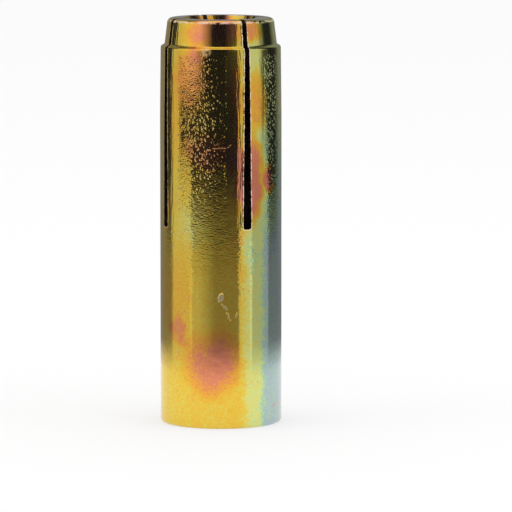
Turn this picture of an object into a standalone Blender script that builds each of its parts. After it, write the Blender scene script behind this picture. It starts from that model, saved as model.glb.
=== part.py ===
"""A drop in anchor for an M12 bolt, 50 mm long: a slotted steel sleeve with an expander plug in its bore.

Metres, +Z up. The sleeve stands on its threaded end with its axis on Z and its slotted end up.
The plug lies between the thread and the four fingers. It is driven up the bore to spread them in the
drilled hole.
"""

import math

import bmesh
import bpy

MM = 0.001

# Sleeve, outside
SLEEVE_LENGTH = 50.0 * MM
WALL = 2.4 * MM  # round the tapped bore
FOOT_EDGE_RADIUS = 0.5 * MM
SWAGED_LENGTH = 12.0 * MM  # the stretch below the tip that the swaging die pressed in
SWAGE_DROP = 0.09 * MM  # how far the body leans in at the shoulder
NECK_LENGTH = 3.0 * MM
NECK_STEP = 0.6 * MM  # from the body in to the neck's base
NECK_LEAN = 0.3 * MM  # how much narrower the neck's radius is at the tip than at its base
NECK_EDGE_RADIUS = 0.6 * MM
SHOULDER_ANGLE = math.radians(75.0)  # steepest slope of the step from neck to body

# Sleeve, inside
TAPPING_DIAMETER = 10.2 * MM  # the drilled bore, tapped from the foot up and left plain round the plug
COUNTERSINK_DEPTH = 1.05 * MM
TAPER_ANGLE = math.radians(5.7)  # half-angle of the cone on which the plug wedges
TAPER_DROP = 0.9 * MM  # how much narrower the bore's radius is past the cone
TIP_BORE_LENGTH = 7.2 * MM
MOUTH_FLARE = 0.4 * MM  # how much wider the bore's radius is at the mouth
MOUTH_DEPTH = 0.8 * MM

# Slots, sawn from the tip down and then narrowed by swaging
SLOT_LENGTH = 25.5 * MM
SLOT_WIDTH_AT_ROOT = 1.1 * MM
SLOT_WIDTH_AT_TIP = 0.58 * MM
SAW_RADIUS = 30.0 * MM
SAW_OVERRUN = 1.0 * MM  # how far the cutter stands clear of the sleeve

# Expander plug
PLUG_BARREL_LENGTH = 9.5 * MM
PLUG_CONE_LENGTH = 3.5 * MM
PLUG_EDGE = 0.4 * MM
PLUG_FIT = 0.1 * MM  # radial clearance between the plug and the bore
PLUG_TRAVEL = 4.0 * MM  # how far the plug slides up before its cone meets the taper

# Facets
TURNS = 72
ARC_STEPS = 5
SAW_ARC_STEPS = 12

# Radii that follow from the bore and the wall
BORE_RADIUS = TAPPING_DIAMETER / 2
BODY_RADIUS = BORE_RADIUS + WALL
NECK_BASE_RADIUS = BODY_RADIUS - NECK_STEP
NECK_TIP_RADIUS = NECK_BASE_RADIUS - NECK_LEAN
TIP_BORE_RADIUS = BORE_RADIUS - TAPER_DROP
PLUG_RADIUS = BORE_RADIUS - PLUG_FIT

# Heights, counted down from the tip
SLOT_ROOT = SLEEVE_LENGTH - SLOT_LENGTH
SWAGE_START = SLEEVE_LENGTH - SWAGED_LENGTH
MOUTH_START = SLEEVE_LENGTH - MOUTH_DEPTH
TAPER_END = MOUTH_START - TIP_BORE_LENGTH
TAPER_START = TAPER_END - TAPER_DROP / math.tan(TAPER_ANGLE)
CONE_START = TAPER_START + PLUG_FIT / math.tan(TAPER_ANGLE) - PLUG_TRAVEL
CONE_END = CONE_START + PLUG_CONE_LENGTH
PLUG_REAR = CONE_START - PLUG_BARREL_LENGTH

YELLOW_ZINC = (0.62, 0.47, 0.10, 1.0)
PLAIN_STEEL = (0.55, 0.54, 0.50, 1.0)


def clear_scene():
    for obj in list(bpy.data.objects):
        bpy.data.objects.remove(obj)


def new_collection(name):
    collection = bpy.data.collections.new(name)
    bpy.context.scene.collection.children.link(collection)
    return collection


def metal(name, colour, roughness):
    material = bpy.data.materials.new(name)
    material.use_nodes = True
    shader = material.node_tree.nodes["Principled BSDF"]
    shader.inputs["Base Color"].default_value = colour
    shader.inputs["Metallic"].default_value = 1.0
    shader.inputs["Roughness"].default_value = roughness
    material.diffuse_color = colour
    return material


def arc(centre, radius, start, end, steps=ARC_STEPS):
    """Points (r, z) on an arc about centre, from one angle to another, ends included. 0 is outward."""
    turn = [start + (end - start) * i / steps for i in range(steps + 1)]
    return [(centre[0] + radius * math.cos(a), centre[1] + radius * math.sin(a)) for a in turn]


def shoulder_outline(inner, outer, top):
    """The rounded step down from the neck to the body: a hollow arc, then a full arc of the same radius."""
    radius = (outer - inner) / 2 / (1 - math.cos(SHOULDER_ANGLE))
    drop = radius * math.sin(SHOULDER_ANGLE)
    hollow = arc((inner + radius, top), radius, math.pi, math.pi + SHOULDER_ANGLE)
    full = arc((outer - radius, top - 2 * drop), radius, SHOULDER_ANGLE, 0.0)
    return hollow + full[1:]


def sleeve_outline():
    """The sleeve's section as (r, z): down the outside, across the foot, up the bore, across the tip."""
    foot = FOOT_EDGE_RADIUS
    edge = NECK_EDGE_RADIUS
    outside = arc((NECK_TIP_RADIUS - edge, SLEEVE_LENGTH - edge), edge, math.pi / 2, 0.0)
    outside += shoulder_outline(NECK_BASE_RADIUS, BODY_RADIUS - SWAGE_DROP, SLEEVE_LENGTH - NECK_LENGTH)
    outside += [(BODY_RADIUS, SWAGE_START)]
    outside += arc((BODY_RADIUS - foot, foot), foot, 0.0, -math.pi / 2)
    inside = [
        (BORE_RADIUS + COUNTERSINK_DEPTH, 0.0),
        (BORE_RADIUS, COUNTERSINK_DEPTH),
        (BORE_RADIUS, TAPER_START),
        (TIP_BORE_RADIUS, TAPER_END),
        (TIP_BORE_RADIUS, MOUTH_START),
        (TIP_BORE_RADIUS + MOUTH_FLARE, SLEEVE_LENGTH),
    ]
    return outside + inside


def plug_outline():
    """The plug's section as (r, z): from the axis at its nose, down its side, to the axis at its rear."""
    nose = PLUG_RADIUS - PLUG_CONE_LENGTH * math.tan(TAPER_ANGLE)
    below_edge = nose + PLUG_EDGE * math.tan(TAPER_ANGLE)
    return [
        (0.0, CONE_END),
        (nose - PLUG_EDGE, CONE_END),
        (below_edge, CONE_END - PLUG_EDGE),
        (PLUG_RADIUS, CONE_START),
        (PLUG_RADIUS, PLUG_REAR + PLUG_EDGE),
        (PLUG_RADIUS - PLUG_EDGE, PLUG_REAR),
        (0.0, PLUG_REAR),
    ]


def turned(name, outline, closed, collection):
    """An object whose mesh is the outline in the XZ plane, turned about Z by a Screw modifier."""
    mesh = bpy.data.meshes.new(name)
    count = len(outline)
    last = count if closed else count - 1
    mesh.from_pydata([(r, 0.0, z) for r, z in outline], [(i, (i + 1) % count) for i in range(last)], [])
    obj = bpy.data.objects.new(name, mesh)
    collection.objects.link(obj)
    screw = obj.modifiers.new("Turn", "SCREW")
    screw.axis = "Z"
    screw.steps = TURNS
    screw.render_steps = TURNS
    screw.use_merge_vertices = True
    screw.merge_threshold = 0.001 * MM
    return obj


def slot_width(height):
    """The width of a slot at a height: the swaged fingers close it towards the tip."""
    share = (height - SLOT_ROOT) / SLOT_LENGTH
    return SLOT_WIDTH_AT_ROOT + (SLOT_WIDTH_AT_TIP - SLOT_WIDTH_AT_ROOT) * share


def saw_outline():
    """The saw blade's path as (x, z): its round edge at the slots' root, then straight up past the tip."""
    reach = BODY_RADIUS + SAW_OVERRUN
    centre = SLOT_ROOT + math.sqrt(SAW_RADIUS**2 - BODY_RADIUS**2)
    spread = math.asin(reach / SAW_RADIUS)
    edge = arc((0.0, centre), SAW_RADIUS, -math.pi / 2 - spread, -math.pi / 2 + spread, SAW_ARC_STEPS)
    top = SLEEVE_LENGTH + SAW_OVERRUN
    return edge + [(reach, top), (-reach, top)]


def saw_blade(name, turn, collection):
    """A cutter for two opposite slots: the saw's path, as thick as a slot is wide, thinner at the tip."""
    curve = bpy.data.curves.new(name, "CURVE")
    curve.dimensions = "2D"
    curve.fill_mode = "BOTH"
    curve.extrude = SLOT_WIDTH_AT_ROOT / 2
    spline = curve.splines.new("POLY")
    outline = saw_outline()
    spline.points.add(len(outline) - 1)
    for point, (x, z) in zip(spline.points, outline):
        point.co = (x, z, 0.0, 1.0)
    spline.use_cyclic_u = True
    flat = bpy.data.objects.new(name + "_path", curve)
    collection.objects.link(flat)

    bpy.context.view_layer.update()
    graph = bpy.context.evaluated_depsgraph_get()
    mesh = bpy.data.meshes.new_from_object(flat.evaluated_get(graph))
    mesh.name = name
    shape = bmesh.new()
    shape.from_mesh(mesh)
    bmesh.ops.remove_doubles(shape, verts=shape.verts, dist=0.001 * MM)
    for vertex in shape.verts:
        vertex.co.z *= slot_width(vertex.co.y) / SLOT_WIDTH_AT_ROOT
    bmesh.ops.recalc_face_normals(shape, faces=shape.faces)
    shape.to_mesh(mesh)
    shape.free()
    bpy.data.objects.remove(flat)

    blade = bpy.data.objects.new(name, mesh)
    blade.rotation_euler = (math.radians(90.0), 0.0, turn)
    blade.hide_render = True
    blade.display_type = "WIRE"
    collection.objects.link(blade)
    return blade


def cut(obj, cutter):
    boolean = obj.modifiers.new("Cut " + cutter.name, "BOOLEAN")
    boolean.operation = "DIFFERENCE"
    boolean.solver = "EXACT"
    boolean.object = cutter


def finish(obj, material):
    """Makes the modifiers' result the object's own mesh, shaded smooth between sharp edges, in its metal."""
    bpy.context.view_layer.update()
    graph = bpy.context.evaluated_depsgraph_get()
    mesh = bpy.data.meshes.new_from_object(obj.evaluated_get(graph))
    obj.modifiers.clear()
    obj.data = mesh
    mesh.name = obj.name
    mesh.shade_smooth()
    mesh.set_sharp_from_angle(angle=math.radians(20.0))
    mesh.materials.clear()
    mesh.materials.append(material)


def build_sleeve(parts, cutters):
    sleeve = turned("anchor_sleeve", sleeve_outline(), True, parts)
    for index in range(2):
        cut(sleeve, saw_blade(f"saw_blade_{index + 1}", index * math.pi / 2, cutters))
    finish(sleeve, metal("yellow zinc plating", YELLOW_ZINC, 0.28))


def build_plug(parts):
    plug = turned("expander_plug", plug_outline(), False, parts)
    finish(plug, metal("plain steel", PLAIN_STEEL, 0.4))


def main():
    clear_scene()
    parts = new_collection("drop_in_anchor")
    cutters = new_collection("cutters")
    build_sleeve(parts, cutters)
    build_plug(parts)


main()
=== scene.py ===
"""Dresses the drop in anchor: the finely modelled sleeve and plug, their metals, and a small photo studio.

The sleeve stands on its threaded end with its axis on Z. Sizes are in metres, in the solids' own frame.
"""

import math

import bmesh
import bpy
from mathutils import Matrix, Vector


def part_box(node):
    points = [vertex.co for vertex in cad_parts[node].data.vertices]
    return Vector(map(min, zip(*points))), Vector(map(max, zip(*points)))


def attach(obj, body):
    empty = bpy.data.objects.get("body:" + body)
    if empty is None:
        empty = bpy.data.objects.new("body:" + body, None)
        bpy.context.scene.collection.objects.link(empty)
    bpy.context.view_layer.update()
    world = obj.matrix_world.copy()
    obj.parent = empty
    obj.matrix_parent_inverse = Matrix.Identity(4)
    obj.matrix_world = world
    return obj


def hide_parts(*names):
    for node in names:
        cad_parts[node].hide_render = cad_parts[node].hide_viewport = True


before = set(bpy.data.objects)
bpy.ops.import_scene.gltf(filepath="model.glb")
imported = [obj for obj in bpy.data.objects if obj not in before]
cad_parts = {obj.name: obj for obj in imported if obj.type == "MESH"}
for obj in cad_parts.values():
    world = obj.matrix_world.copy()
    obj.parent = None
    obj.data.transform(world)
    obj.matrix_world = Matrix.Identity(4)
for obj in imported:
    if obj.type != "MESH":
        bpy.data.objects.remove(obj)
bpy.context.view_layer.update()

bl_info = {
    "name": "Drop In Anchor",
    "version": (1, 0, 0),
    "blender": (4, 5, 0),
    "location": "3D Viewport > Sidebar > Drop In Anchor",
    "description": "Builds a zinc plated drop in anchor with its expander plug and a small photo studio",
    "category": "Add Mesh",
}

MM = 0.001
SLEEVE_LOW, SLEEVE_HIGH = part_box("anchor_sleeve")
PLUG_LOW, PLUG_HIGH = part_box("expander_plug")

# The meshes' spacing

FINGERS = 4
ROW_STEP = 0.15 * MM
LIP_STEPS = [0.0, 0.04 * MM, 0.09 * MM, 0.16 * MM, 0.3 * MM, 0.6 * MM]  # away from a slot's wall or its end
FACE_COLUMNS = 16  # across a finger, between the columns beside its slots
SLOT_COLUMNS = 3  # across half a slot, below its end
QUARTER_COLUMNS = 2 * SLOT_COLUMNS + 2 * (len(LIP_STEPS) - 1) + FACE_COLUMNS
WALL_SKIN = 0.03 * MM  # depth of the first and last points on a slot's wall
THREAD_COLUMNS = FINGERS * QUARTER_COLUMNS  # as many as the four quarters, so that the edges meet
THREAD_ROWS = 16  # to a turn
MERGE_DISTANCE = 0.002 * MM
PLUG_COLUMNS = 96
EDGE_STEPS = 7  # round an edge of the sleeve
PLUG_EDGE_STEPS = 6
SLEEVE_CREASE = 35.0  # degrees, above which an edge is shaded sharp
PLUG_CREASE = 30.0


def a_size(name, description, default):
    return bpy.props.FloatProperty(
        name=name, description=description, default=default, min=0.0,
        unit="LENGTH", subtype="DISTANCE", precision=5,
    )


def a_colour(name, description, default):
    return bpy.props.FloatVectorProperty(
        name=name, description=description, default=(*default, 1.0), size=4, min=0.0, max=1.0, subtype="COLOR"
    )


def a_share(name, description, default):
    return bpy.props.FloatProperty(
        name=name, description=description, default=default, min=0.0, max=1.0, subtype="FACTOR"
    )


def an_angle(name, description, degrees):
    return bpy.props.FloatProperty(
        name=name, description=description, default=math.radians(degrees), subtype="ANGLE"
    )


class SleeveSizes(bpy.types.PropertyGroup):
    """The sleeve's sizes."""

    length: a_size("Length", "From the threaded end to the tip", SLEEVE_HIGH.z - SLEEVE_LOW.z)
    radius: a_size("Body Radius", "Outside of the body", SLEEVE_HIGH.x)
    film_room: a_size("Film Room", "How far the surface lies inside the solid, under the burrs", 0.024 * MM)
    foot_edge: a_size("Foot Edge", "Radius of the threaded end's outer edge", 0.5 * MM)
    swaged: a_size("Swaged Length", "Stretch below the tip that the die pressed in", 12.0 * MM)
    swage_drop: a_size("Swage Drop", "How far the body leans in at the shoulder", 0.09 * MM)
    neck: a_size("Neck Length", "From the shoulder to the tip", 3.0 * MM)
    neck_step: a_size("Neck Step", "From the body in to the neck's base", 0.6 * MM)
    neck_lean: a_size("Neck Lean", "How much narrower the neck is at the tip", 0.3 * MM)
    neck_edge: a_size("Neck Edge", "Radius of the tip's outer edge", 0.6 * MM)
    bore: a_size("Bore Radius", "The drilled bore, which is the thread's crest", 5.1 * MM)
    countersink: a_size("Countersink", "Depth of the countersink at the threaded end", 1.05 * MM)
    taper_start: a_size("Taper Start", "Height at which the bore begins to narrow", 32.983 * MM)
    taper_end: a_size("Taper End", "Height at which the bore is narrowest", 42.0 * MM)
    taper_drop: a_size("Taper Drop", "How much narrower the bore is past the taper", 0.9 * MM)
    mouth_depth: a_size("Mouth Depth", "Depth of the flare at the tip", 0.8 * MM)
    mouth_flare: a_size("Mouth Flare", "How much wider the bore is at the tip's face", 0.4 * MM)
    slot_length: a_size("Slot Length", "From the tip down", 25.5 * MM)
    slot_root_width: a_size("Slot Width at Root", "As sawn", 1.1 * MM)
    slot_tip_width: a_size("Slot Width at Tip", "As closed by swaging", 0.58 * MM)
    slot_corner: a_size("Slot Corner", "Corner radius at the slot's end", 0.34 * MM)
    saw_radius: a_size("Saw Radius", "Of the blade that cut the slots", 30.0 * MM)
    burr_height: a_size("Burr Height", "Of the lip raised along the slots", 0.022 * MM)
    burr_wave: a_size("Burr Wave", "How far the slots' edges wander", 0.22 * MM)
    thread_pitch: a_size("Thread Pitch", "Of the M12 thread", 1.75 * MM)
    thread_depth: a_size("Thread Depth", "From crest to root", 0.947 * MM)
    thread_turns: bpy.props.IntProperty(
        name="Thread Turns", description="Turns up to the end of its run-out", default=11, min=2
    )
    seed: bpy.props.IntProperty(name="Seed", description="Of the burrs' noise", default=7)


class PlugSizes(bpy.types.PropertyGroup):
    """The expander plug's sizes."""

    radius: a_size("Radius", "Of the barrel", PLUG_HIGH.x)
    rear: a_size("Rear", "Height of the face that the setting tool strikes", PLUG_LOW.z)
    nose: a_size("Nose", "Height of the face towards the tip", PLUG_HIGH.z)
    cone: a_size("Cone Length", "Of the tapered end", 3.5 * MM)
    cone_drop: a_size("Cone Drop", "How much narrower the nose is", 0.349 * MM)
    edge: a_size("Edge", "Radius of the round edges", 0.4 * MM)
    centre_mark: a_size("Centre Mark", "Radius of the mark that parting off leaves", 0.7 * MM)


class Finishes(bpy.types.PropertyGroup):
    """Colours and strengths of the metals."""

    blush: a_colour("Blush", "Zinc film where it shows pink", (0.82, 0.26, 0.155))
    orange: a_colour("Orange", "Zinc film where it shows orange", (0.88, 0.37, 0.065))
    gold: a_colour("Gold", "Zinc film where it shows gold", (0.88, 0.49, 0.045))
    olive: a_colour("Olive", "Zinc film where it shows olive", (0.82, 0.60, 0.07))
    lime: a_colour("Lime", "Zinc film where it shows lime", (0.78, 0.70, 0.17))
    leaf: a_colour("Leaf", "Zinc film where it shows yellow-green", (0.66, 0.76, 0.28))
    teal: a_colour("Teal", "Zinc film where it shows teal", (0.46, 0.67, 0.38))
    slate: a_colour("Slate", "Zinc film where it shows blue-grey", (0.42, 0.53, 0.55))
    # pale colour of rubbed metal, also used for the painted highlights on the slots' edges and the rim, for
    # painted glints, and on the tip's end face
    bare_and_highlight: a_colour("Bare Edge and Highlight", "Rubbed metal on the slots' edges and the rim", (0.86, 0.66, 0.52))
    nick: a_colour("Nick", "Scuffed metal in the nicks", (0.34, 0.31, 0.30))
    # painted shade: a near-black, duller colour on the slots' walls and floors, where little light reaches
    shelter: a_colour("Painted Wall Shade", "Dull film on the slots' walls", (0.09, 0.055, 0.035))
    steel: a_colour("Plug Steel", "Plain steel of the plug", (0.50, 0.48, 0.45))
    face: an_angle("Face", "Side that the film's patches and marks lie on, round the axis", -25.7)
    gloss: a_share("Roughness", "Of the zinc film", 0.12)
    peel: a_share("Relief", "Strength of the dimples, ripples and nicks", 1.0)
    haze: a_share("Haze", "Strength of the colourless haze over the zinc film", 0.5)


class StageSettings(bpy.types.PropertyGroup):
    """The camera and the light."""

    lens: bpy.props.FloatProperty(name="Lens", description="Focal length in mm", default=316.4, min=1.0)
    distance: a_size("Camera Distance", "From the anchor's axis", 552.0 * MM)
    height: a_size("Camera Height", "Above the floor", 83.6 * MM)
    azimuth: an_angle("Camera Azimuth", "Round the anchor", -25.7)
    pitch: an_angle("Camera Pitch", "Below the horizon", 6.52)
    yaw: an_angle("Camera Yaw", "Turned right, away from the axis", 0.4495)
    floor: a_colour("Floor", "The pale floor", (0.85, 0.85, 0.85))


def placed(name, data):
    """A new object in the scene."""
    made = bpy.data.objects.new(name, data)
    bpy.context.scene.collection.objects.link(made)
    return made


def mesh_from(shape, name):
    mesh = bpy.data.meshes.new(name)
    shape.to_mesh(mesh)
    shape.free()
    return mesh


class Value:
    """A number in a node tree. Arithmetic on it adds Math nodes."""

    def __init__(self, graph, socket):
        self.graph = graph
        self.socket = socket

    def __add__(self, other):
        return self.graph.math("ADD", self, other)

    def __radd__(self, other):
        return self.graph.math("ADD", other, self)

    def __sub__(self, other):
        return self.graph.math("SUBTRACT", self, other)

    def __rsub__(self, other):
        return self.graph.math("SUBTRACT", other, self)

    def __mul__(self, other):
        return self.graph.math("MULTIPLY", self, other)

    def __rmul__(self, other):
        return self.graph.math("MULTIPLY", other, self)

    def __truediv__(self, other):
        return self.graph.math("DIVIDE", self, other)

    def __abs__(self):
        return self.graph.math("ABSOLUTE", self)


class Graph:
    """Adds nodes to one tree and hands back their outputs as values."""

    def __init__(self, tree):
        self.tree = tree

    def add(self, kind, settings=None, inputs=None, output=0):
        """A node: its settings first, then its sockets. Hands back one output, or a list of them."""
        node = self.tree.nodes.new(kind)
        for name, value in (settings or {}).items():
            if name == "stops":
                self.set_stops(node.color_ramp, value)
            else:
                setattr(node, name, value)
        for key, value in (inputs or {}).items():
            socket = self.find(node.inputs, key)
            if isinstance(value, list):
                for item in value:
                    self.tree.links.new(item.socket, socket)
            elif isinstance(value, Value):
                self.tree.links.new(value.socket, socket)
            else:
                socket.default_value = value
        if len(node.outputs) == 0:
            return node
        if isinstance(output, (list, tuple)):
            return [Value(self, self.find(node.outputs, key)) for key in output]
        return Value(self, self.find(node.outputs, output))

    @staticmethod
    def find(sockets, key):
        if isinstance(key, int):
            return sockets[key]
        for socket in sockets:
            if socket.enabled and key in (socket.name, socket.identifier):
                return socket
        raise KeyError(f"no socket {key}")

    @staticmethod
    def set_stops(ramp, stops):
        while len(ramp.elements) < len(stops):
            ramp.elements.new(1.0)
        for element, (place, colour) in zip(ramp.elements, stops):
            element.position = place
            element.color = colour

    def math(self, operation, *values, clamp=False):
        inputs = dict(enumerate(values))
        return self.add("ShaderNodeMath", {"operation": operation, "use_clamp": clamp}, inputs)

    def least(self, a, b):
        return self.math("MINIMUM", a, b)

    def most(self, a, b):
        return self.math("MAXIMUM", a, b)

    def clamped(self, value):
        return self.math("ADD", value, 0.0, clamp=True)

    def step(self, value, start, stop):
        """0 to 1, smoothly, as the value goes from start to stop."""
        settings = {"interpolation_type": "SMOOTHSTEP"}
        return self.add("ShaderNodeMapRange", settings, {"Value": value, "From Min": start, "From Max": stop})

    def noise(self, place, scale, detail=2.0, roughness=0.5, output="Fac"):
        inputs = {"Vector": place, "Scale": scale, "Detail": detail, "Roughness": roughness}
        return self.add("ShaderNodeTexNoise", None, inputs, output)

    def sway(self, place, scale, detail=2.0, roughness=0.5):
        """Noise to both sides of zero."""
        return self.noise(place, scale, detail, roughness) - 0.5

    def lifted(self, low, value):
        """A value from 0 to 1, brought to run from low to 1."""
        return low + value * (1.0 - low)

    def parts(self, vector):
        return self.add("ShaderNodeSeparateXYZ", None, {0: vector}, ("X", "Y", "Z"))

    def attribute(self, name):
        return self.add("ShaderNodeAttribute", {"attribute_name": name}, None, "Fac")

    def patch(self, across, up, centre, reach):
        """1 at a centre, falling softly to 0 at an oval round it."""
        aside = (across - centre[0]) / reach[0]
        above = (up - centre[1]) / reach[1]
        return self.step(aside * aside + above * above, 1.0, 0.0)

    def scaled(self, vector, by):
        return self.add("ShaderNodeVectorMath", {"operation": "SCALE"}, {"Vector": vector, "Scale": by})

    def stretched(self, vector, by):
        return self.add("ShaderNodeVectorMath", {"operation": "MULTIPLY"}, {0: vector, 1: by})

    def mixed(self, share, first, second):
        inputs = {"Factor_Float": share, "A_Color": first, "B_Color": second}
        return self.add("ShaderNodeMix", {"data_type": "RGBA"}, inputs, "Result_Color")


def new_material(name):
    """A material and the graph of its nodes, with the Principled BSDF in place."""
    material = bpy.data.materials.new(name)
    material.use_nodes = True
    return material, Graph(material.node_tree), material.node_tree.nodes["Principled BSDF"]


def connect(graph, node, values):
    for key, value in values.items():
        if isinstance(value, Value):
            graph.tree.links.new(value.socket, node.inputs[key])
        else:
            node.inputs[key].default_value = value


# The zinc film

# Where the colours of Finishes stand on the scale of the film's thickness
FILM_STOPS = {
    "blush": 0.0, "orange": 0.14, "gold": 0.3, "olive": 0.46,
    "lime": 0.58, "leaf": 0.7, "teal": 0.84, "slate": 0.97,
}
BASE_THICKNESS = 0.42
# Where the film is thinner or thicker than its surroundings: how far across the anchor's face (-1 to 1), the
# height in mm, the reach both ways, and the change
FILM_PATCHES = [
    (-0.72, 16.0, 0.30, 7.0, -0.09),
    (-0.70, 12.4, 0.16, 2.0, -0.30),
    (-0.60, 10.8, 0.14, 1.2, -0.20),
    (-0.62, 37.0, 0.36, 5.0, -0.10),
    (-0.14, 8.2, 0.56, 5.6, -0.44),
    (-0.46, 25.6, 0.30, 4.0, 0.12),
    (-0.10, 34.2, 0.62, 3.2, -0.36),
    (-0.48, 42.6, 0.38, 4.6, -0.28),
    (-0.38, 46.0, 0.26, 2.4, -0.16),
    (-0.30, 48.6, 0.40, 2.4, -0.34),
    (0.10, 48.6, 0.26, 2.2, -0.40),
    (0.24, 40.5, 0.14, 6.0, -0.32),
    (0.27, 31.0, 0.14, 5.5, -0.34),
    (0.50, 30.5, 0.24, 7.0, -0.72),
    (0.56, 40.0, 0.26, 4.6, -0.44),
    (0.50, 48.6, 0.20, 2.0, -0.56),
    (0.50, 21.4, 0.16, 2.6, 0.12),
    (0.80, 28.5, 0.20, 6.0, -0.16),
    (0.77, 30.2, 0.10, 2.0, -0.85),
]
# Nicks and rubs: across and up from the middle of the face in mm, half length, half width, lean, strength
MARKS = [
    (-0.05, 16.2, 0.62, 0.34, 78.0, 1.0),
    (0.40, 15.1, 0.62, 0.11, -50.0, 0.8),
    (0.95, 13.9, 0.75, 0.10, -66.0, 0.4),
    (1.9, 14.0, 0.45, 0.14, 85.0, 0.2),
    (-0.2, 34.5, 0.95, 0.055, 2.0, 0.5),
    (1.05, 34.75, 0.4, 0.05, 40.0, 0.4),
    (-4.93, 29.5, 0.24, 0.16, 60.0, 1.0),
]
# Heights in mm between which something comes or goes
STREAKS_COME = (21.0, 26.0)
RIPPLE_COLOUR_GOES = (34.0, 20.0)
SPECK_COLOUR_COMES = (24.0, 32.0)
# the painted sheen at the face's right edge fades out between these heights
PAINTED_SHEEN_EDGE_GOES = (42.0, 26.0)
PEEL_COMES = (9.0, 29.0)
PEEL_GOES = (46.3, 45.2)
DIMPLES_COME = (22.0, 32.0)
SMOOTH_BAND_COMES = (23.0, 26.0)
RIM_COMES = (49.5, 49.62)
RIM_GOES = (49.86, 49.76)
TIP_FACE_COMES = (49.9, 49.97)
# Distances in mm from the middle of the nearest slot
STREAK_BAND = (2.9, 1.4)
SMOOTH_BAND = (2.8, 2.4)
# Shares of the way from the middle of the face to its right edge, where a painted sheen shifts the film
# towards lime, teal and blue-grey
PAINTED_SHEEN_HALF = (0.28, 0.5)
PAINTED_SHEEN_EDGE = (0.6, 0.76)
# the painted highlight on the slots' edges is strongest on the face's own side
FRONT = (4.0, 6.0)  # mm from the axis towards the face's own side
RIM_RING = (30.0, 34.0)  # squares of the radius in mm
# Ovals on the face: the middle, across and up, then the reach both ways
PRESSED_LEFT = ((-0.48, 37.0), (0.5, 15.0))
PRESSED_RIGHT = ((0.76, 41.0), (0.24, 8.0))
# where the dimples' specks get painted glints in the pale colour
PAINTED_GLINT_SPECKS = ((-0.28, 36.0), (0.38, 15.0))
# a painted glint under the shoulder, as pale metal
PAINTED_GLINT_UNDER_SHOULDER = ((-1.78, 46.2), (0.75, 0.75))  # in mm across
FILM_RELIEF = 0.14 * MM
STEEL_RELIEF = 0.01 * MM


class Surface:
    """A point on the sleeve, in mm, and the patterns there that colour and relief share."""

    def __init__(self, graph, finish, radius):
        place = graph.scaled(graph.add("ShaderNodeTexCoord", output="Object"), 1 / MM)
        x, y, z = graph.parts(place)
        cosine, sine = math.cos(finish.face), math.sin(finish.face)
        self.place = place
        self.z = z
        self.across = x * cosine + y * sine
        self.towards = x * sine - y * cosine
        self.in_front = graph.step(self.towards, 0.0, 1.0)
        self.from_axis_squared = x * x + y * y
        self.from_slot = graph.least(abs(x), abs(y))
        self.cloud = graph.sway(graph.stretched(place, (1.0, 1.0, 0.35)), 0.3, 3.0, 0.55)
        self.side = self.across / (radius / MM) + graph.sway(place, 0.75) * 0.16
        self.ragged = graph.noise(place, 1.7, 2.0, 0.6)
        self.crumb = graph.sway(place, 3.6, 2.0, 0.6)
        near_slot = graph.step(self.from_slot, *STREAK_BAND) * graph.step(z, *STREAKS_COME)
        self.streaks = graph.sway(graph.stretched(place, (1.0, 1.0, 0.12)), 2.6) * near_slot
        self.ripple = graph.noise(graph.stretched(place, (0.6, 0.6, 1.2)), 4.6, 1.0)
        self.speck = self.specks(graph)

    def specks(self, graph):
        """Small dots of uneven strength, 1 at the most, stretched a little along the axis."""
        bent = graph.add("ShaderNodeVectorMath", {"operation": "ADD"}, {
            0: graph.stretched(self.place, (1.35, 1.35, 0.95)),
            1: graph.scaled(graph.noise(self.place, 1.6, 1.0, 0.5, "Color"), 0.3),
        })
        inputs = {"Vector": bent, "Scale": 3.0}
        distance, chance = graph.add("ShaderNodeTexVoronoi", {"feature": "F1"}, inputs, ("Distance", "Color"))
        return graph.step(distance, 0.46, 0.08) * graph.lifted(0.25, graph.parts(chance)[0])


def film_thickness(graph, at):
    """How thick the film is, from 0, where it shows pink, to 1, where it shows blue-grey, with a painted
    sheen on the face's right side.
    """
    up = at.z + at.cloud * 4.0
    # painted sheen: the film counts thicker across the face's right side, and more so at its edge, for the
    # colour that the angle of view and the light give there
    thickness = BASE_THICKNESS + graph.step(at.side, *PAINTED_SHEEN_HALF) * 0.22
    painted_sheen_edge = graph.step(at.side, *PAINTED_SHEEN_EDGE) * graph.step(at.z, *PAINTED_SHEEN_EDGE_GOES)
    thickness = thickness + painted_sheen_edge * 0.32
    for middle, height, reach_across, reach_up, change in FILM_PATCHES:
        patch = graph.patch(at.side, up, (middle, height), (reach_across, reach_up))
        thickness = thickness + patch * change
    grain = graph.sway(at.place, 1.3, 3.0, 0.65)
    ripples = (at.ripple - 0.5) * graph.step(at.z, *RIPPLE_COLOUR_GOES)
    specks = at.speck * graph.step(at.z, *SPECK_COLOUR_COMES)
    return thickness + at.cloud * 0.2 + grain * 0.2 + at.streaks * 0.3 + (ripples * 0.45 + specks * 0.2)


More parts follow.
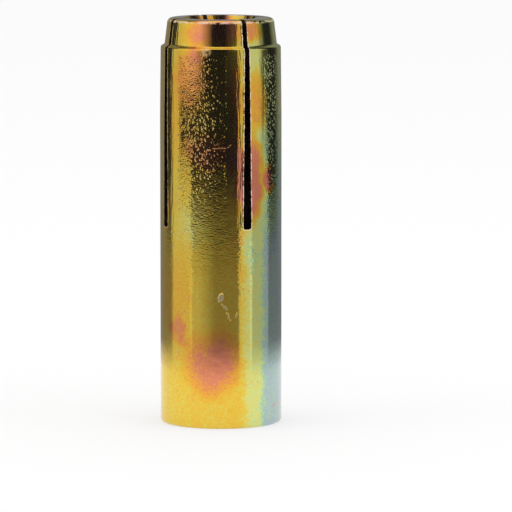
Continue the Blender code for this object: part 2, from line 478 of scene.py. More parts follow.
def rubs_and_painted_highlights(graph, at):
    """Where the film is worn, and where a highlight is painted as pale metal: the slots' edges, partly rubbed
    and partly a painted highlight that is strongest on the face's own side, the rim of the tip, a painted
    highlight, and a painted glint under the shoulder.
    """
    worn = graph.lifted(0.2, graph.step(at.ragged, 0.42, 0.56))
    # the slots' edges: a rubbed burr and a painted highlight, brighter on the face's own side
    edge = graph.step(graph.attribute("burr"), 0.25, 0.7) * worn
    edge = edge * graph.lifted(0.3, graph.step(at.towards, *FRONT))
    # the rim of the tip: a painted highlight, as pale metal
    rim_highlight = graph.step(at.z, *RIM_COMES) * graph.step(at.z, *RIM_GOES)
    rim_highlight = rim_highlight * graph.step(at.from_axis_squared, *RIM_RING)
    rubbed_and_highlit = graph.most(edge, rim_highlight * graph.step(at.ragged, 0.35, 0.6) * 0.7)
    # a painted glint under the shoulder, on the face's own side
    painted_glint = graph.patch(at.across, at.z, *PAINTED_GLINT_UNDER_SHOULDER)
    painted_glint = painted_glint * graph.lifted(0.3, graph.step(at.ragged, 0.4, 0.56))
    return graph.most(rubbed_and_highlit, painted_glint * at.in_front * 0.42)


def nicks(graph, at):
    """Where the marks are: leaning ovals on the face, with ragged edges."""
    across = at.across + at.crumb * 0.5
    up = at.z + at.crumb * 0.3
    marks = 0.0
    for middle, height, length, width, lean, strength in MARKS:
        cosine, sine = math.cos(math.radians(lean)), math.sin(math.radians(lean))
        aside = across - middle
        above = up - height
        along = (aside * cosine + above * sine) / length
        over = (above * cosine - aside * sine) / width
        marks = graph.most(graph.step(along * along + over * over, 1.0, 0.4) * strength, marks)
    return marks * at.in_front


def zinc_film(finish, radius):
    """Yellow zinc: a thin film over glossy steel, whose colour follows its thickness."""
    material, graph, shader = new_material("yellow_zinc_film")
    at = Surface(graph, finish, radius)
    rubbed_and_highlit = rubs_and_painted_highlights(graph, at)
    marks = nicks(graph, at)
    # rubbed metal and painted highlights turn less metallic and rougher
    bare_and_highlight = graph.most(rubbed_and_highlit, marks * 0.35)
    # painted shade on the slots' walls and floors: a near-black colour and a rougher finish
    shelter = graph.step(graph.attribute("shelter"), 0.1, 0.8)
    wander = graph.noise(at.place, 0.4, 2.0, 0.6)
    broken = graph.step(graph.noise(at.place, 0.25, 1.0), 0.55, 0.62)
    line = graph.step(abs(wander - 0.47), 0.012, 0.0) * broken
    smooth_band = graph.step(at.from_slot, *SMOOTH_BAND) * graph.step(at.z, *SMOOTH_BAND_COMES)
    peel = graph.step(at.z, *PEEL_COMES) * graph.step(at.z, *PEEL_GOES) * (1.0 - smooth_band * 0.92)
    dimples = peel * graph.step(at.z, *DIMPLES_COME)

    stops = [(place, getattr(finish, name)) for name, place in FILM_STOPS.items()]
    colour = graph.add("ShaderNodeValToRGB", {"stops": stops}, {"Fac": film_thickness(graph, at)})
    layers = [
        (line * 0.45, finish.blush),
        # rubbed metal and painted highlights in the pale colour
        (rubbed_and_highlit, finish.bare_and_highlight),
        (marks * (0.72 + at.crumb * 1.4), finish.nick),
        (graph.step(at.z, *TIP_FACE_COMES) * 0.8, finish.bare_and_highlight),
        (shelter, finish.shelter),
        # painted glints on the dimples' specks
        (at.speck * dimples * graph.patch(at.side, at.z, *PAINTED_GLINT_SPECKS) * 0.8, finish.bare_and_highlight),
    ]
    for share, shown in layers:
        colour = graph.mixed(share, colour, shown)

    left = graph.patch(at.side, at.z, *PRESSED_LEFT)
    right = graph.patch(at.side, at.z, *PRESSED_RIGHT)
    pressed = graph.lifted(0.4, graph.most(left, right))
    wave = graph.noise(at.place, 0.8, 1.0)
    height = at.speck * dimples * pressed * 0.5 + at.ripple * (peel - dimples * 0.6) * 0.26
    height = height + wave * (peel * 0.16 + 0.05) - marks * 0.5 + at.streaks * 0.2
    bump_inputs = {"Strength": finish.peel, "Distance": FILM_RELIEF, "Height": height}
    connect(graph, shader, {
        "Base Color": colour,
        "Metallic": 1.0 - bare_and_highlight * 0.85,
        "Roughness": finish.gloss - peel * 0.08 + at.cloud * 0.06 + bare_and_highlight * 0.35 + shelter * 0.4 + line * 0.1,
        "Normal": graph.add("ShaderNodeBump", None, bump_inputs, "Normal"),
        "Coat Weight": finish.haze,
        "Coat Roughness": 0.6,
    })
    return material


OILED_STEEL = (0.28, 0.25, 0.2, 1.0)
RINGS = 42.0  # how fast they follow on each other, in radians to the mm


def plug_steel(finish):
    """Plain turned steel: fine rings round the axis, a little dulled by oil."""
    material, graph, shader = new_material("plain_turned_steel")
    place = graph.scaled(graph.add("ShaderNodeTexCoord", output="Object"), 1 / MM)
    x, y, z = graph.parts(place)
    reach = graph.math("SQRT", x * x + y * y)
    rings = graph.math("SINE", (z + reach) * RINGS)
    oil = graph.noise(place, 0.5, 3.0, 0.6)
    grain = graph.noise(graph.stretched(place, (0.6, 0.6, 9.0)), 1.0)
    bump_inputs = {"Strength": 0.4, "Distance": STEEL_RELIEF, "Height": rings * 0.3 + grain}
    connect(graph, shader, {
        "Base Color": graph.mixed(graph.step(oil, 0.45, 0.7), finish.steel, OILED_STEEL),
        "Metallic": 1.0,
        "Roughness": 0.3 + oil * 0.2,
        "Normal": graph.add("ShaderNodeBump", None, bump_inputs, "Normal"),
    })
    return material


# The sleeve's shape

def arc(centre, radius, start, end, steps):
    """Points (r, z) on an arc about centre, from one angle to another, ends included. Angle 0 is outward."""
    turn = [start + (end - start) * i / steps for i in range(steps + 1)]
    return [(centre[0] + radius * math.cos(a), centre[1] + radius * math.sin(a)) for a in turn]


def spaced(start, stop, step):
    """Heights from start to stop, without start, about a step apart."""
    count = max(1, math.ceil(abs(stop - start) / step - 1e-6))
    return [start + (stop - start) * i / count for i in range(1, count + 1)]


def smooth(share):
    share = min(max(share, 0.0), 1.0)
    return share * share * (3 - 2 * share)


class Quarter:
    """A quarter of the sleeve, with one finger, between the middles of two slots, without the thread."""

    SHOULDER_ANGLE = math.radians(75.0)
    CORNER_SHARES = [0.0, 0.1, 0.3, 0.6, 1.0]  # rows up a slot's round corner
    SAG_FADE = 3.0 * MM  # above the slots' ends, where the saw's arc no longer bends the rows
    BURR_REACH = 0.2 * MM
    BURR_FADE = 0.8 * MM  # below the tip
    BODY_STEP = 1.5 * MM  # below the slots
    FOOT_SHARES = (0.5, 1.0)  # rows across the foot's face
    BORE_DROPS = [0.1 * MM, 0.4 * MM]  # first rows of the bore below the slots
    BORE_STEP = 0.8 * MM

    def __init__(self, sizes):
        self.sizes = sizes
        self.top = sizes.length
        self.root = sizes.length - sizes.slot_length
        self.shoulder = sizes.length - sizes.neck
        self.shape = bmesh.new()
        self.burr = self.shape.verts.layers.float.new("burr")
        # marks the slots' walls and floors, which the zinc film paints dark as shade
        self.shelter = self.shape.verts.layers.float.new("shelter")
        self.saw_centre = self.root + math.sqrt(sizes.saw_radius**2 - sizes.radius**2)

    def half_width(self, z):
        """Half the slot's width at a height, with the round corners at its end."""
        sizes = self.sizes
        share = min(max((z - self.root) / sizes.slot_length, 0.0), 1.0)
        half = (sizes.slot_root_width + (sizes.slot_tip_width - sizes.slot_root_width) * share) / 2
        rise = z - self.root
        if rise < sizes.slot_corner:
            low = sizes.slot_corner - max(rise, 0.0)
            half -= sizes.slot_corner - math.sqrt(max(sizes.slot_corner**2 - low**2, 0.0))
        return half

    def from_slot(self, across, z):
        """Distance from the slot's outline, for a point beside the slot or below its end."""
        sizes = self.sizes
        corner = sizes.slot_corner
        over = across - (self.half_width(max(z, self.root + corner)) - corner)
        below = self.root + corner - z
        if below <= 0.0:
            return over - corner
        if over <= 0.0:
            return below - corner
        return math.hypot(over, below) - corner

    def lip(self, distance):
        """Height of the lip that the saw raised, by distance from the slot's outline."""
        reach = distance / self.BURR_REACH
        return self.sizes.burr_height * smooth(1.0 - reach) if reach > 0.0 else self.sizes.burr_height

    def bore_radius(self, z):
        sizes = self.sizes
        share = (z - sizes.taper_start) / (sizes.taper_end - sizes.taper_start)
        return sizes.bore - sizes.taper_drop * min(max(share, 0.0), 1.0)

    def body_radius(self, z):
        sizes = self.sizes
        base = self.shoulder_foot()
        start = sizes.length - sizes.swaged
        share = min(max((z - start) / (base - start), 0.0), 1.0)
        return sizes.radius - sizes.film_room - sizes.swage_drop * share

    def shoulder_radius(self):
        sizes = self.sizes
        step = sizes.neck_step - sizes.swage_drop
        return step / 2 / (1 - math.cos(self.SHOULDER_ANGLE))

    def shoulder_foot(self):
        return self.shoulder - 2 * self.shoulder_radius() * math.sin(self.SHOULDER_ANGLE)

    def shoulder_points(self):
        """The step from the body up to the neck: a full arc, then a hollow one."""
        sizes = self.sizes
        radius = self.shoulder_radius()
        outer = sizes.radius - sizes.film_room - sizes.swage_drop
        inner = outer - (sizes.neck_step - sizes.swage_drop)
        full = arc((outer - radius, self.shoulder_foot()), radius, 0.0, self.SHOULDER_ANGLE, EDGE_STEPS)
        start = math.pi + self.SHOULDER_ANGLE
        hollow = arc((inner + radius, self.shoulder), radius, start, math.pi, EDGE_STEPS)
        return full[1:] + hollow[1:]

    def finger_rows(self):
        """The finger's rows from the slot's end to the tip, each as its outer (r, z) and its inner (r, z)."""
        sizes = self.sizes
        rows = []
        heights = [self.root + sizes.slot_corner * share for share in self.CORNER_SHARES]
        heights += spaced(heights[-1], self.shoulder_foot(), ROW_STEP)
        for z in heights:
            rows.append(((self.body_radius(z), z), (self.bore_radius(z), z)))
        for r, z in self.shoulder_points():
            rows.append(((r, z), (self.bore_radius(z), z)))
        neck_base = rows[-1][0][0]
        neck_top = self.top - sizes.neck_edge
        mouth = self.top - sizes.mouth_depth
        for z in spaced(self.shoulder, neck_top, ROW_STEP):
            share = (z - self.shoulder) / (neck_top - self.shoulder)
            inner = self.shoulder + (mouth - self.shoulder) * share
            rows.append(((neck_base - sizes.neck_lean * share, z), (self.bore_radius(inner), inner)))
        centre = (rows[-1][0][0] - sizes.neck_edge, neck_top)
        edge = arc(centre, sizes.neck_edge, 0.0, math.pi / 2, EDGE_STEPS)[1:]
        for i, point in enumerate(edge, 1):
            share = i / len(edge)
            flare = self.bore_radius(mouth) + sizes.mouth_flare * share
            rows.append((point, (flare, mouth + sizes.mouth_depth * share)))
        return rows

    def vertex(self, r, angle, z, burr=0.0, shelter=0.0):
        made = self.shape.verts.new((r * math.cos(angle), r * math.sin(angle), z))
        made[self.burr] = burr
        # shelter marks where the zinc film paints shade
        made[self.shelter] = shelter
        return made

    def outer_vertex(self, r, angle, z):
        """A vertex of the outside, raised into a lip beside a slot."""
        across = r * min(math.sin(angle), math.cos(angle))
        distance = self.from_slot(across, z)
        fade = smooth((self.top - z) / self.BURR_FADE)
        burr = min(max(1.0 - distance / self.BURR_REACH, 0.0), 1.0)
        return self.vertex(r + self.lip(distance) * fade, angle, z, burr * fade)

    def finger_angles(self, r, z):
        """The angles of a finger's columns, from one slot's wall to the other's."""
        edge = self.half_width(z)
        wide = self.half_width(max(z, self.root + self.sizes.slot_corner))
        last = LIP_STEPS[-1]
        beside = [math.asin((edge + t + (wide - edge) * t / last) / r) for t in LIP_STEPS]
        first, end = beside[-1], math.pi / 2 - beside[-1]
        middle = [first + (end - first) * i / FACE_COLUMNS for i in range(1, FACE_COLUMNS)]
        return beside + middle + [math.pi / 2 - a for a in reversed(beside)]

    def ring_angles(self, r):
        """The angles of the quarter's columns below the slots, from the middle of one slot to the next."""
        finger = self.finger_angles(r, self.root)
        edge = self.half_width(self.root)
        half = [math.asin(edge * i / SLOT_COLUMNS / r) for i in range(SLOT_COLUMNS)]
        return half + finger + [math.pi / 2 - a for a in reversed(half)]

    def sag(self, r, z):
        """How far the saw's arc sags at a radius, from its height at the outside. It fades out further up."""
        arc_height = self.saw_centre - math.sqrt(self.sizes.saw_radius**2 - r**2)
        return (arc_height - self.root) * smooth(1.0 - (z - self.root) / self.SAG_FADE)

    def wall_points(self, outer, inner, z_outer, z_inner, angle_side):
        """The points across a slot's wall between its outer and inner corners, from outside in."""
        depth = outer - inner
        made = []
        edge = self.half_width(z_outer)
        for share in (WALL_SKIN / depth, 0.5, 1 - WALL_SKIN / depth):
            r = outer - depth * share
            z = z_outer + (z_inner - z_outer) * share
            angle = math.asin(edge / r)
            angle = math.pi / 2 - angle if angle_side else angle
            # each point of the wall is marked for the painted shade
            made.append(self.vertex(r, angle, z + self.sag(r, z), shelter=1.0))
        return made

    def skin(self, *rows):
        """Faces between rows of vertices. Rising rows that run anticlockwise from above face outwards."""
        for lower, upper in zip(rows, rows[1:]):
            for i in range(len(lower) - 1):
                self.shape.faces.new([lower[i], lower[i + 1], upper[i + 1], upper[i]])

    def finger(self):
        """The finger's rows of vertices. Hands back those at its root: outer, inner, and the two walls."""
        loops = []
        for (r_out, z_out), (r_in, z_in) in self.finger_rows():
            outer = [self.outer_vertex(r_out, a, z_out) for a in self.finger_angles(r_out, z_out)]
            drop = self.sag(r_in, z_in)
            inner = [self.vertex(r_in, a, z_in + drop) for a in self.finger_angles(r_in, z_out)]
            near = self.wall_points(r_out, r_in, z_out, z_in, False)
            far = self.wall_points(r_out, r_in, z_out, z_in, True)
            loops.append((outer, inner, near, far))
        self.skin(*[[inner[0]] + near[::-1] + outer + far + inner[::-1] for outer, inner, near, far in loops])
        self.cap(*loops[-1])
        return loops[0]

    def cap(self, outer, inner, near, far):
        """The finger's end face, from its outer edge to the mouth of the bore."""
        r_out = math.hypot(outer[0].co.x, outer[0].co.y)
        r_in = math.hypot(inner[0].co.x, inner[0].co.y)
        rows = [outer]
        for i in range(len(near)):
            share = (r_out - math.hypot(near[i].co.x, near[i].co.y)) / (r_out - r_in)
            r = r_out + (r_in - r_out) * share
            middle = []
            for a, b in zip(outer[1:-1], inner[1:-1]):
                turn = math.atan2(a.co.y, a.co.x) * (1 - share) + math.atan2(b.co.y, b.co.x) * share
                middle.append(self.vertex(r, turn, self.top))
            rows.append([near[i]] + middle + [far[i]])
        self.skin(*rows, inner)

    def slot_end(self, outer, inner, near, far):
        """The slots' floors, on the saw's arc. Hands back the outer and inner rings at the slots' ends."""
        rows = []
        corner_rows = [(outer[0], outer[-1])] + list(zip(near, far)) + [(inner[0], inner[-1])]
        for first, last in corner_rows:
            r = math.hypot(first.co.x, first.co.y)
            edge = self.half_width(self.root)
            angles = [math.asin(edge * i / SLOT_COLUMNS / r) for i in range(SLOT_COLUMNS)]
            height = first.co.z
            # the slot's floor is marked for the painted shade; its outer edge carries the burr
            burr, shelter = (1.0, 0.0) if first is outer[0] else (0.0, 1.0)
            left = [self.vertex(r, a, height, burr, shelter) for a in angles] + [first]
            mirrored = [math.pi / 2 - a for a in reversed(angles)]
            right = [last] + [self.vertex(r, a, height, burr, shelter) for a in mirrored]
            rows.append((left, right))
        for (left_a, right_a), (left_b, right_b) in zip(rows, rows[1:]):
            self.skin(left_a, left_b)
            self.skin(right_a, right_b)
        outer_ring = rows[0][0][:-1] + outer + rows[0][1][1:]
        inner_ring = rows[-1][0][:-1] + inner + rows[-1][1][1:]
        return outer_ring, inner_ring

    def outside(self, ring):
        """The body below the slots, its round foot edge and the foot's face, down to the thread's wall."""
        sizes = self.sizes
        radius = sizes.radius - sizes.film_room
        heights = [self.root - t for t in LIP_STEPS[1:]]
        heights += spaced(heights[-1], sizes.foot_edge, self.BODY_STEP)
        points = [(radius, z) for z in heights]
        centre = (radius - sizes.foot_edge, sizes.foot_edge)
        points += arc(centre, sizes.foot_edge, 0.0, -math.pi / 2, EDGE_STEPS)[1:]
        for r, z in points:
            row = [self.outer_vertex(r, a, z) for a in self.ring_angles(r)]
            self.skin(row, ring)
            ring = row
        mouth = sizes.bore + sizes.countersink
        for share in self.FOOT_SHARES:
            r = points[-1][0] + (mouth - points[-1][0]) * share
            row = [self.vertex(r, a, 0.0) for a in self.evened(self.ring_angles(r), share)]
            self.skin(row, ring)
            ring = row

    def inside(self, ring):
        """The plain bore below the slots, down to the thread's wall."""
        sizes = self.sizes
        start = ring[0].co.z
        stop = sizes.thread_turns * sizes.thread_pitch
        angles = self.ring_angles(sizes.bore)
        heights = [start - drop for drop in self.BORE_DROPS]
        heights += spaced(heights[-1], stop, self.BORE_STEP)
        for z in heights:
            share = smooth((start - z) / (start - stop))
            row = [self.vertex(sizes.bore, a, z) for a in self.evened(angles, share)]
            self.skin(ring, row)
            ring = row

    @staticmethod
    def evened(angles, share):
        """The angles moved towards even spacing by a share."""
        last = len(angles) - 1
        return [a * (1 - share) + math.pi / 2 * i / last * share for i, a in enumerate(angles)]

    def mesh(self, name):
        root = self.finger()
        outer_ring, inner_ring = self.slot_end(*root)
        self.outside(outer_ring)
        self.inside(inner_ring)
        return mesh_from(self.shape, name)


# The sleeve's node tree

# Inputs: the kind of socket, and the size that goes in
TREE_INPUTS = {
    "Quarter": ("Geometry", None),
    "Fingers": ("Int", None),
    "Thread Pitch": ("Float", "thread_pitch"),
    "Thread Turns": ("Int", "thread_turns"),
    "Thread Depth": ("Float", "thread_depth"),
    "Bore Radius": ("Float", "bore"),
    "Countersink": ("Float", "countersink"),
    "Burr Wave": ("Float", "burr_wave"),
    "Seed": ("Int", "seed"),
    "Metal": ("Material", None),
}
# Shares of the thread's pitch
CREST = 0.25
FLANK = 0.3125
RUN_OUT = 1.5  # turns over which the thread fades out
EDGE_NOISE_SCALE = 1.9


def thread_wall(graph, given):
    """The tapped bore: a grid sheared along the helix, so that its rows follow the crests and the roots."""
    columns = THREAD_COLUMNS
    turns = given["Thread Turns"]
    pitch = given["Thread Pitch"]
    bore = given["Bore Radius"]
    rows = (turns + 1) * THREAD_ROWS
    sizes = {"Size X": 1.0, "Size Y": 1.0, "Vertices X": columns + 1, "Vertices Y": rows + 1}
    grid = graph.add("GeometryNodeMeshGrid", None, sizes, "Mesh")
    u, v, _ = graph.parts(graph.add("GeometryNodeInputPosition"))
    column = graph.math("ROUND", (u + 0.5) * columns)
    row = graph.math("ROUND", (v + 0.5) * rows)
    end = turns * pitch
    lift = (column / columns + row / THREAD_ROWS - 1.0) * pitch
    z = graph.most(graph.least(lift, end), 0.0)
    phase = graph.math("MODULO", row, float(THREAD_ROWS)) / THREAD_ROWS
    profile = graph.clamped(graph.least((phase - CREST) / FLANK, (1.0 - phase) / FLANK))
    run_out = graph.clamped((end - z) / (pitch * RUN_OUT))
    radius = graph.most(bore + given["Thread Depth"] * profile * run_out, bore + given["Countersink"] - z)
    turn = column * (math.tau / columns)
    place = {"X": radius * graph.math("COSINE", turn), "Y": radius * graph.math("SINE", turn), "Z": z}
    position = graph.add("ShaderNodeCombineXYZ", None, place)
    wall = graph.add("GeometryNodeSetPosition", None, {"Geometry": grid, "Position": position})
    return graph.add("GeometryNodeFlipFaces", None, {"Mesh": wall})


def ring_of_fingers(graph, given, quarter):
    """The quarter repeated round the axis."""
    count = given["Fingers"]
    points = graph.add("GeometryNodeMeshLine", None, {"Count": count, "Offset": (0.0, 0.0, 0.0)})
    turn = graph.add("GeometryNodeInputIndex") * math.tau / count
    rotation = graph.add("ShaderNodeCombineXYZ", None, {"Z": turn})
    inputs = {"Points": points, "Instance": quarter, "Rotation": rotation}
    return graph.add("GeometryNodeInstanceOnPoints", None, inputs)


def wandering_edges(graph, given, geometry):
    """The slots' edges moved to and fro by noise, where the burr attribute says, but never outwards."""
    burr = graph.add("GeometryNodeInputNamedAttribute", {"data_type": "FLOAT"}, {"Name": "burr"}, "Attribute")
    place = graph.scaled(graph.add("GeometryNodeInputPosition"), 1 / MM)
    settings = {"noise_dimensions": "4D"}
    inputs = {"Vector": place, "W": given["Seed"] * 1.0, "Scale": EDGE_NOISE_SCALE, "Detail": 2.0}
    red, green, _ = graph.parts(graph.add("ShaderNodeTexNoise", settings, inputs, "Color"))
    x, y, _ = graph.parts(place)
    reach = burr * given["Burr Wave"]
    sideways = (red - 0.5) * reach / graph.math("SQRT", x * x + y * y)
    offset = {"X": y * sideways, "Y": 0.0 - x * sideways, "Z": (green - 0.5) * reach * 0.5}
    offset = graph.add("ShaderNodeCombineXYZ", None, offset)
    return graph.add("GeometryNodeSetPosition", None, {"Geometry": geometry, "Offset": offset})


def sleeve_tree():
    """The node tree that makes the whole sleeve from a quarter of it."""
    tree = bpy.data.node_groups.new("Anchor sleeve", "GeometryNodeTree")
    for name, (kind, _) in TREE_INPUTS.items():
        tree.interface.new_socket(name, in_out="INPUT", socket_type="NodeSocket" + kind)
    tree.interface.new_socket("Sleeve", in_out="OUTPUT", socket_type="NodeSocketGeometry")
    graph = Graph(tree)
    given = dict(zip(TREE_INPUTS, graph.add("NodeGroupInput", output=list(TREE_INPUTS))))
    fingers = ring_of_fingers(graph, given, given["Quarter"])
    fingers = graph.add("GeometryNodeRealizeInstances", None, {"Geometry": fingers})
    joined = graph.add("GeometryNodeJoinGeometry", None, {"Geometry": [fingers, thread_wall(graph, given)]})
    moved = wandering_edges(graph, given, joined)
    merged = graph.add("GeometryNodeMergeByDistance", None, {"Geometry": moved, "Distance": MERGE_DISTANCE})
    coated = graph.add("GeometryNodeSetMaterial", None, {"Geometry": merged, "Material": given["Metal"]})
    graph.add("NodeGroupOutput", None, {"Sleeve": coated})
    return tree


def grown(name, mesh, tree, values):
    """A plain mesh object: what the node tree makes of a mesh."""
    seed = placed(name + "_seed", mesh)
    modifier = seed.modifiers.new("Nodes", "NODES")
    modifier.node_group = tree
    for item in tree.interface.items_tree:
        if item.item_type == "SOCKET" and item.name in values:
            modifier[item.identifier] = values[item.name]
    bpy.context.view_layer.update()
    graph = bpy.context.evaluated_depsgraph_get()
    made = bpy.data.meshes.new_from_object(seed.evaluated_get(graph))
    made.name = name
    bpy.data.objects.remove(seed)
    return placed(name, made)


def shade(piece, angle):
    piece.data.shade_smooth()
    piece.data.set_sharp_from_angle(angle=math.radians(angle))


def lathe(name, outline, turns):
    """A closed solid turned about Z from an outline (r, z) that starts and ends on the axis, nose to rear."""
    shape = bmesh.new()
    nose = shape.verts.new((0.0, 0.0, outline[0][1]))
    rear = shape.verts.new((0.0, 0.0, outline[-1][1]))
    rings = []
    for r, z in outline[1:-1]:
        turn = [math.tau * i / turns for i in range(turns)]
        rings.append([shape.verts.new((r * math.cos(a), r * math.sin(a), z)) for a in turn])
    for i in range(turns):
        j = (i + 1) % turns
        shape.faces.new([nose, rings[0][i], rings[0][j]])
        shape.faces.new([rear, rings[-1][j], rings[-1][i]])
        for upper, lower in zip(rings, rings[1:]):
            shape.faces.new([lower[i], lower[j], upper[j], upper[i]])
    return placed(name, mesh_from(shape, name))


# The studio

CARD_RADIUS = 55.0 * MM
CARD_STEP = 6.0  # widest facet, in degrees
CARD_TOP = 160.0  # mm
DARK_GLOW = 0.012  # where there is no card
FLOOR_GLOW = 0.9  # at the cards' feet, where they meet the pale floor
ALL_ROUND = (-181.0, -180.0, 180.0, 181.0)
ALL_HEIGHTS = (-1.0, 0.0, CARD_TOP, CARD_TOP + 1.0)
LOWER_HALF = (-1.0, 0.0, 14.5, 26.5)
# Cards, each laid over those before it. Degrees round the anchor from the camera's side: where the card
# starts, where it is full, where it is last full and where it ends. The same four in mm of height. Its glow.
CARDS = {
    "back_left": ((-181.0, -180.0, -124.0, -114.0), ALL_HEIGHTS, 0.24),
    "back_right": ((119.0, 138.0, 180.0, 181.0), ALL_HEIGHTS, 0.24),
    "bench": (ALL_ROUND, LOWER_HALF, 0.23),
    "left_softbox": ((-102.0, -96.0, -57.5, -53.0), ALL_HEIGHTS, 0.67),
    "left_top": ((-92.0, -62.0, -42.0, -17.0), (46.0, 51.0, CARD_TOP, CARD_TOP + 1.0), 0.95),
    "left_high": ((-80.0, -62.0, -50.0, -28.0), (37.0, 39.5, 46.0, 51.0), 0.83),
    "collar_flag": ((-86.0, -76.0, -20.0, -19.0), (27.5, 29.5, 37.0, 39.5), 0.03),
    "left_spill": ((-60.0, -57.0, -42.0, -10.0), LOWER_HALF, 0.54),
    "left_strip": ((-58.0, -57.3, -53.8, -53.0), LOWER_HALF, 0.8),
    "right_top_spill": ((8.0, 31.8, 32.4, 33.0), (37.0, 51.0, CARD_TOP, CARD_TOP + 1.0), 0.14),
    "right_softbox": ((31.8, 32.4, 75.0, 96.5), ALL_HEIGHTS, 0.68),
    "right_low": ((57.2, 57.8, 95.5, 96.5), (-1.0, 0.0, 26.5, 33.0), 0.48),
    "right_flag": ((75.0, 83.0, 96.0, 97.0), (29.5, 38.0, 46.0, 51.0), 0.05),
    "right_strip": ((54.4, 54.8, 57.2, 57.8), (-1.0, 0.0, 14.5, 29.5), 0.95),
    "floor_line": (ALL_ROUND, (-1.0, 0.0, 0.0, 3.5), FLOOR_GLOW),
}
# Lamps: degrees from, degrees to, radiance
LAMPS = {
    "left_softbox": (-96.0, -53.5, 0.6),
    "right_softbox": (33.5, 94.0, 0.5),
}
LAMP_RADIUS = 1.2
LAMP_HEIGHT = 2.4
TOP_LAMP_HEIGHT = 420.0 * MM
TOP_LAMP_SIZE = 300.0 * MM
TOP_LAMP_RADIANCE = 0.6
FLOOR_RADIUS = 6.0
FLOOR_SIDES = 64
FLOOR_WHITE = 0.6  # share of plain white where the camera, a mirror or glass sees the floor
WHITE = (1.0, 1.0, 1.0, 1.0)
BLACK = (0.0, 0.0, 0.0, 1.0)
SENSOR_WIDTH = 36.0  # mm


def direction(stage, degrees):
    """A level direction, at an angle from the camera's side, to its right."""
    angle = stage.azimuth + math.radians(degrees)
    return Vector((math.sin(angle), -math.cos(angle), 0.0))


def card_material():
    material, graph, shader = new_material("studio_card")
    connect(graph, shader, {
        "Base Color": BLACK,
        "Specular IOR Level": 0.0,
        "Emission Color": graph.attribute("glow"),
        "Emission Strength": 1.0,
    })
    return material


def on_card(value, start, full, last, end):
    """How much of a card is at an angle or a height: fading in from start to full, out from last to end."""
    fade_in = (value - start) / (full - start)
    fade_out = (end - value) / (end - last)
    return min(max(min(fade_in, fade_out), 0.0), 1.0)


def card_glow(degrees, height):
    glow = DARK_GLOW
    for across, upright, strength in CARDS.values():
        glow += (strength - glow) * on_card(degrees, *across) * on_card(height, *upright)
    return glow


def studio_cards(stage):
    """The grey cards round the anchor, which only its reflections show."""
    shape = bmesh.new()
    glow = shape.verts.layers.float.new("glow")
    angles = {-180.0 + CARD_STEP * i for i in range(round(360.0 / CARD_STEP))}
    angles |= {angle for across, _, _ in CARDS.values() for angle in across if -180.0 <= angle < 180.0}
    heights = {height for _, upright, _ in CARDS.values() for height in upright if 0.0 <= height <= CARD_TOP}
    columns = []
    for angle in sorted(angles):
        foot = direction(stage, angle) * CARD_RADIUS
        column = []
        for height in sorted(heights):
            vertex = shape.verts.new(foot + Vector((0.0, 0.0, height * MM)))
            vertex[glow] = card_glow(angle, height)
            column.append(vertex)
        columns.append(column)
    for a, b in zip(columns, columns[1:] + columns[:1]):
        for j in range(len(a) - 1):
            shape.faces.new([a[j], a[j + 1], b[j + 1], b[j]])
    mesh = mesh_from(shape, "studio_cards")
    mesh.materials.append(card_material())
    cards = placed("studio_cards", mesh)
    cards.visible_camera = False
    cards.visible_diffuse = False
    cards.visible_shadow = False
    cards.visible_transmission = False
    return cards


def softbox(name, place, aim, width, height, radiance):
    lamp = bpy.data.lights.new(name, "AREA")
    lamp.shape = "RECTANGLE"
    lamp.size = width
    lamp.size_y = height
    lamp.energy = radiance * width * height * math.pi
    holder = placed(name, lamp)
    holder.location = place
    holder.rotation_euler = (aim - place).to_track_quat("-Z", "Y").to_euler()
    holder.visible_camera = False
    holder.visible_glossy = False


def pale_floor(stage):
    shape = bmesh.new()
    bmesh.ops.create_circle(shape, cap_ends=True, radius=FLOOR_RADIUS, segments=FLOOR_SIDES)
    floor = placed("floor", mesh_from(shape, "floor"))
    material, graph, shader = new_material("pale_floor")
    connect(graph, shader, {"Base Color": tuple(stage.floor), "Roughness": 0.9, "Specular IOR Level": 0.1})
    rays = graph.add("ShaderNodeLightPath", output=("Is Camera Ray", "Is Glossy Ray", "Is Transmission Ray"))
    seen = graph.clamped(rays[0] + rays[1] + rays[2]) * FLOOR_WHITE
    glow = graph.add("ShaderNodeEmission", None, {"Color": WHITE, "Strength": 1.0})
    plain = Value(graph, shader.outputs[0])
    mixed = graph.add("ShaderNodeMixShader", None, {0: seen, 1: plain, 2: glow})
    surface = graph.tree.nodes["Material Output"].inputs["Surface"]
    graph.tree.links.new(mixed.socket, surface)
    floor.data.materials.append(material)
    return floor


def white_world():
    """A plain white surround, behind the anchor, in its reflections and as the light on the floor."""
    world = bpy.data.worlds.new("studio")
    world.use_nodes = True
    background = world.node_tree.nodes["Background"]
    background.inputs["Color"].default_value = WHITE
    background.inputs["Strength"].default_value = 1.0
    bpy.context.scene.world = world


def camera(stage):
    data = bpy.data.cameras.new("camera")
    data.lens = stage.lens
    data.sensor_width = SENSOR_WIDTH
    holder = placed("camera", data)
    holder.location = direction(stage, 0.0) * stage.distance + Vector((0.0, 0.0, stage.height))
    holder.rotation_euler = (math.pi / 2 - stage.pitch, 0.0, stage.azimuth - stage.yaw)
    bpy.context.scene.camera = holder


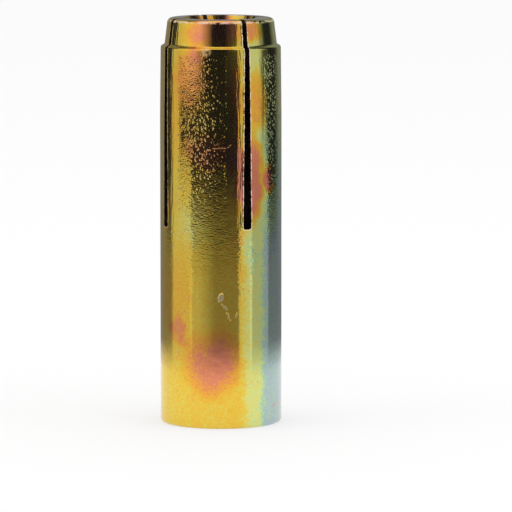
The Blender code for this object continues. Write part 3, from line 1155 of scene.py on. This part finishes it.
class ANCHOR_OT_sleeve(bpy.types.Operator):
    """Build the slotted sleeve with its thread, and coat it in yellow zinc"""

    bl_idname = "anchor.sleeve"
    bl_label = "Anchor Sleeve"

    def execute(self, context):
        scene = context.scene
        sizes = scene.anchor_sleeve
        values = {"Fingers": FINGERS, "Metal": zinc_film(scene.anchor_finishes, sizes.radius)}
        for name, (_, size) in TREE_INPUTS.items():
            if size:
                values[name] = getattr(sizes, size)
        sleeve = grown("sleeve", Quarter(sizes).mesh("sleeve_quarter"), sleeve_tree(), values)
        shade(sleeve, SLEEVE_CREASE)
        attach(sleeve, "sleeve")
        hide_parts("anchor_sleeve")
        return {"FINISHED"}


# The mark in the plug's rear: shares of its radius, and how deep it is there
CENTRE_MARK = [(1.0, 0.0), (0.7, 0.15 * MM), (0.0, 0.2 * MM)]


class ANCHOR_OT_plug(bpy.types.Operator):
    """Build the expander plug of plain turned steel"""

    bl_idname = "anchor.plug"
    bl_label = "Expander Plug"

    def execute(self, context):
        scene = context.scene
        sizes = scene.anchor_plug
        tip = sizes.radius - sizes.cone_drop
        edge = sizes.edge
        cone_start = sizes.nose - sizes.cone
        outline = [(0.0, sizes.nose)]
        outline += arc((tip - edge, sizes.nose - edge), edge, math.pi / 2, 0.0, PLUG_EDGE_STEPS)
        outline += [(sizes.radius, cone_start), (sizes.radius, sizes.rear + edge)]
        outline += arc((sizes.radius - edge, sizes.rear + edge), edge, 0.0, -math.pi / 2, PLUG_EDGE_STEPS)[1:]
        outline += [(sizes.centre_mark * share, sizes.rear + depth) for share, depth in CENTRE_MARK]
        plug = lathe("plug", outline, PLUG_COLUMNS)
        plug.data.materials.append(plug_steel(scene.anchor_finishes))
        shade(plug, PLUG_CREASE)
        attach(plug, "plug")
        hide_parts("expander_plug")
        return {"FINISHED"}


class ANCHOR_OT_stage(bpy.types.Operator):
    """Set up the pale floor, the softboxes, the grey cards and the camera"""

    bl_idname = "anchor.stage"
    bl_label = "Photo Studio"

    def execute(self, context):
        stage = context.scene.anchor_stage
        pale_floor(stage)
        studio_cards(stage)
        middle = Vector((0.0, 0.0, LAMP_HEIGHT / 2))
        for name, (start, stop, radiance) in LAMPS.items():
            place = direction(stage, (start + stop) / 2) * LAMP_RADIUS + middle
            width = 2 * LAMP_RADIUS * math.tan(math.radians((stop - start) / 2))
            softbox(name, place, middle, width, LAMP_HEIGHT, radiance)
        above = Vector((0.0, 0.0, TOP_LAMP_HEIGHT))
        softbox("top_softbox", above, Vector(), TOP_LAMP_SIZE, TOP_LAMP_SIZE, TOP_LAMP_RADIANCE)
        white_world()
        camera(stage)
        context.scene.view_settings.view_transform = "Standard"
        return {"FINISHED"}


class ANCHOR_PT_parts(bpy.types.Panel):
    """The anchor's pieces and its studio"""

    bl_idname = "ANCHOR_PT_parts"
    bl_label = "Drop In Anchor"
    bl_space_type = "VIEW_3D"
    bl_region_type = "UI"
    bl_category = "Drop In Anchor"

    def draw(self, context):
        for operator, settings in STEPS:
            box = self.layout.box()
            if operator:
                box.operator(operator.bl_idname)
            else:
                box.label(text="Finishes")
            group = getattr(context.scene, settings)
            for name in group.bl_rna.properties.keys():
                if name not in ("rna_type", "name"):
                    box.prop(group, name)


STEPS = [
    (None, "anchor_finishes"),
    (ANCHOR_OT_sleeve, "anchor_sleeve"),
    (ANCHOR_OT_plug, "anchor_plug"),
    (ANCHOR_OT_stage, "anchor_stage"),
]
GROUPS = {
    "anchor_sleeve": SleeveSizes,
    "anchor_plug": PlugSizes,
    "anchor_finishes": Finishes,
    "anchor_stage": StageSettings,
}
CLASSES = [*GROUPS.values(), *[operator for operator, _ in STEPS if operator], ANCHOR_PT_parts]


def register():
    for cls in CLASSES:
        bpy.utils.register_class(cls)
    for name, group in GROUPS.items():
        setattr(bpy.types.Scene, name, bpy.props.PointerProperty(type=group))


def unregister():
    for name in GROUPS:
        delattr(bpy.types.Scene, name)
    for cls in reversed(CLASSES):
        bpy.utils.unregister_class(cls)


def main():
    register()
    bpy.ops.anchor.sleeve()
    bpy.ops.anchor.plug()
    bpy.ops.anchor.stage()


if __name__ == "__main__":
    main()
